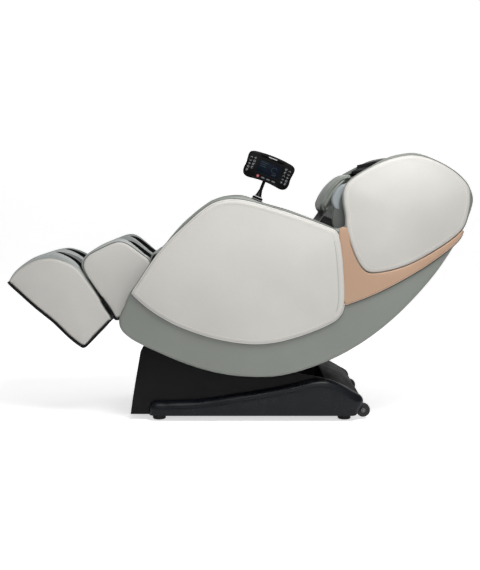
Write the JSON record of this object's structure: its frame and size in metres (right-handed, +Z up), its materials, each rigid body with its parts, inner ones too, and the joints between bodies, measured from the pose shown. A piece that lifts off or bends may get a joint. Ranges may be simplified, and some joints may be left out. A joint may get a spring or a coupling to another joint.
{
  "type": "massage chair",
  "caption": "Reclining zero-gravity massage chair with a sliding foot unit and a remote tablet on a stand.",
  "frame": {"origin": "floor level, under the middle of the overall box: half way from the toe tip to the rear of the shell, on the chair's centre plane", "axes": "+X from the feet to the head, +Y to the sitter's right, +Z up; the sitter faces -X"},
  "size_m": [1.649, 0.72, 0.9735],
  "materials": {
    "white_leather": "semi-matt off-white synthetic leather",
    "grey_shell": "satin sage-grey moulded shell",
    "bronze_trim": "satin bronze synthetic leather trim",
    "black_plastic": "satin black moulded plastic",
    "black_fabric": "black woven upholstery",
    "grey_fabric": "grey synthetic leather and fabric",
    "dark_steel": "black powder-coated steel",
    "bright_steel": "brushed steel",
    "rubber": "matt black rubber",
    "roller_plastic": "amber moulded roller",
    "gloss_black": "gloss black plastic",
    "screen_glass": "dark blue display window",
    "red_plastic": "red push button",
    "grey_plastic": "grey push buttons"
  },
  "bodies": {
    "base": {"base_frame": "dark_steel", "base_front_cover": "black_plastic", "base_side_cover_left": "black_plastic", "base_side_cover_right": "black_plastic", "base_rear_cover": "black_plastic", "foot_pad_front_left": "rubber", "foot_pad_front_right": "rubber", "foot_pad_rear_left": "rubber", "foot_pad_rear_right": "rubber"},
    "wheel_left": {"transport_wheel_left": "rubber"},
    "wheel_right": {"transport_wheel_right": "rubber"},
    "body": {"seat_frame": "dark_steel", "side_shell_left": "grey_shell", "side_shell_right": "grey_shell", "arm_panel_left": "white_leather", "arm_panel_right": "white_leather", "accent_panel_left": "bronze_trim", "accent_panel_right": "bronze_trim", "head_pod_left": "white_leather", "head_pod_right": "white_leather", "rear_shell": "grey_shell", "seat_cushion": "black_fabric", "back_cushion": "black_fabric", "head_pillow": "grey_fabric", "shoulder_pad_left": "grey_fabric", "shoulder_pad_right": "grey_fabric", "arm_pad_left": "black_fabric", "arm_pad_right": "black_fabric", "stand_base": "black_plastic"},
    "carriage": {"massage_carriage": "dark_steel"},
    "arm_left": {"roller_arm_left": "dark_steel"},
    "arm_right": {"roller_arm_right": "dark_steel"},
    "roller_upper_left": {"massage_roller_upper_left": "roller_plastic"},
    "roller_lower_left": {"massage_roller_lower_left": "roller_plastic"},
    "roller_upper_right": {"massage_roller_upper_right": "roller_plastic"},
    "roller_lower_right": {"massage_roller_lower_right": "roller_plastic"},
    "legrest": {"legrest_frame": "dark_steel", "calf_shell": "grey_shell", "calf_side_panel_left": "white_leather", "calf_side_panel_right": "white_leather", "calf_pad_left": "black_fabric", "calf_pad_right": "black_fabric"},
    "footrest": {"foot_shell": "grey_shell", "foot_side_panel_left": "white_leather", "foot_side_panel_right": "white_leather", "foot_lining_left": "black_fabric", "foot_lining_right": "black_fabric", "foot_slide_frame": "bright_steel"},
    "recline_tube": {"recline_actuator_body": "black_plastic"},
    "recline_rod": {"recline_actuator_rod": "bright_steel"},
    "legrest_tube": {"legrest_actuator_body": "black_plastic"},
    "legrest_rod": {"legrest_actuator_rod": "bright_steel"},
    "stand": {"stand_arm": "gloss_black"},
    "tablet": {"tablet_housing": "gloss_black", "tablet_screen": "screen_glass"},
    "button_power": {"power_button": "red_plastic"},
    "key_left": {"tablet_key_left": "grey_plastic"},
    "key_middle": {"tablet_key_middle": "grey_plastic"},
    "key_right": {"tablet_key_right": "grey_plastic"}
  },
  "joints": [
    {"name": "recline", "type": "hinge", "parent": "base", "child": "body", "pos_m": [-0.0575, 0, 0.204], "axis": [0, 1, 0], "range_deg": [-24, 3]},
    {"name": "legrest_lift", "type": "hinge", "parent": "body", "child": "legrest", "pos_m": [-0.2725, 0, 0.53], "axis": [0, 1, 0], "range_deg": [-16, 25]},
    {"name": "footrest_extend", "type": "slide", "parent": "legrest", "child": "footrest", "axis": [-0.848, 0, -0.5299], "range_m": [0, 0.12]},
    {"name": "recline_tube_swing", "type": "hinge", "parent": "base", "child": "recline_tube", "pos_m": [0.2, 0, 0.11], "axis": [0, 1, 0], "range_deg": [-5.2, 0.8]},
    {"name": "recline_rod_stroke", "type": "slide", "parent": "recline_tube", "child": "recline_rod", "axis": [-0.7987, 0, 0.6017], "range_m": [-0.0045, 0.0305]},
    {"name": "legrest_tube_swing", "type": "hinge", "parent": "body", "child": "legrest_tube", "pos_m": [0.02, 0, 0.41], "axis": [0, 1, 0], "range_deg": [-2.6, 4]},
    {"name": "legrest_rod_stroke", "type": "slide", "parent": "legrest_tube", "child": "legrest_rod", "axis": [-0.9859, 0, 0.1675], "range_m": [-0.0185, 0.0285]},
    {"name": "massage_travel", "type": "slide", "parent": "body", "child": "carriage", "axis": [0.5807, 0, 0.8141], "range_m": [0, 0.26]},
    {"name": "rock_left", "type": "hinge", "parent": "carriage", "child": "arm_left", "pos_m": [0.32112, -0.075, 0.49661], "axis": [0, 1, 0], "range_deg": [-5, 5]},
    {"name": "rock_right", "type": "hinge", "parent": "carriage", "child": "arm_right", "pos_m": [0.32112, 0.075, 0.49661], "axis": [0, 1, 0], "range_deg": [-5, 5]},
    {"name": "roller_spin_upper_left", "type": "hinge", "parent": "arm_left", "child": "roller_upper_left", "pos_m": [0.32202, -0.0975, 0.55125], "axis": [0, 1, 0], "continuous": true},
    {"name": "roller_spin_lower_left", "type": "hinge", "parent": "arm_left", "child": "roller_lower_left", "pos_m": [0.26976, -0.0975, 0.47798], "axis": [0, 1, 0], "continuous": true},
    {"name": "roller_spin_upper_right", "type": "hinge", "parent": "arm_right", "child": "roller_upper_right", "pos_m": [0.32202, 0.0975, 0.55125], "axis": [0, 1, 0], "continuous": true},
    {"name": "roller_spin_lower_right", "type": "hinge", "parent": "arm_right", "child": "roller_lower_right", "pos_m": [0.26976, 0.0975, 0.47798], "axis": [0, 1, 0], "continuous": true},
    {"name": "wheel_spin_left", "type": "hinge", "parent": "base", "child": "wheel_left", "pos_m": [0.4565, -0.2495, 0.034], "axis": [0, 1, 0], "continuous": true},
    {"name": "wheel_spin_right", "type": "hinge", "parent": "base", "child": "wheel_right", "pos_m": [0.4565, 0.2495, 0.034], "axis": [0, 1, 0], "continuous": true},
    {"name": "stand_swivel", "type": "hinge", "parent": "body", "child": "stand", "pos_m": [0.08614, 0.32, 0.79626], "axis": [0.3665, 0, 0.9304], "range_deg": [-90, 90]},
    {"name": "tablet_tilt", "type": "hinge", "parent": "stand", "child": "tablet", "pos_m": [0.12334, 0.32, 0.8907], "axis": [0.9304, 0, -0.3665], "range_deg": [-25, 8]},
    {"name": "press_power", "type": "slide", "parent": "tablet", "child": "button_power", "axis": [0, 1, 0], "range_m": [0, 0.001], "stiffness_N_per_m": 120},
    {"name": "press_key_left", "type": "slide", "parent": "tablet", "child": "key_left", "axis": [0, 1, 0], "range_m": [0, 0.001], "stiffness_N_per_m": 120},
    {"name": "press_key_middle", "type": "slide", "parent": "tablet", "child": "key_middle", "axis": [0, 1, 0], "range_m": [0, 0.001], "stiffness_N_per_m": 120},
    {"name": "press_key_right", "type": "slide", "parent": "tablet", "child": "key_right", "axis": [0, 1, 0], "range_m": [0, 0.001], "stiffness_N_per_m": 120}
  ],
  "couplings": [
    {"joint": "recline_tube_swing", "follows": "recline", "ratio": 0.2087},
    {"joint": "recline_rod_stroke", "follows": "recline", "m_per_rad": -0.071},
    {"joint": "legrest_tube_swing", "follows": "legrest_lift", "ratio": 0.1498},
    {"joint": "legrest_rod_stroke", "follows": "legrest_lift", "m_per_rad": 0.0639},
    {"joint": "rock_right", "follows": "rock_left", "ratio": -1}
  ]
}
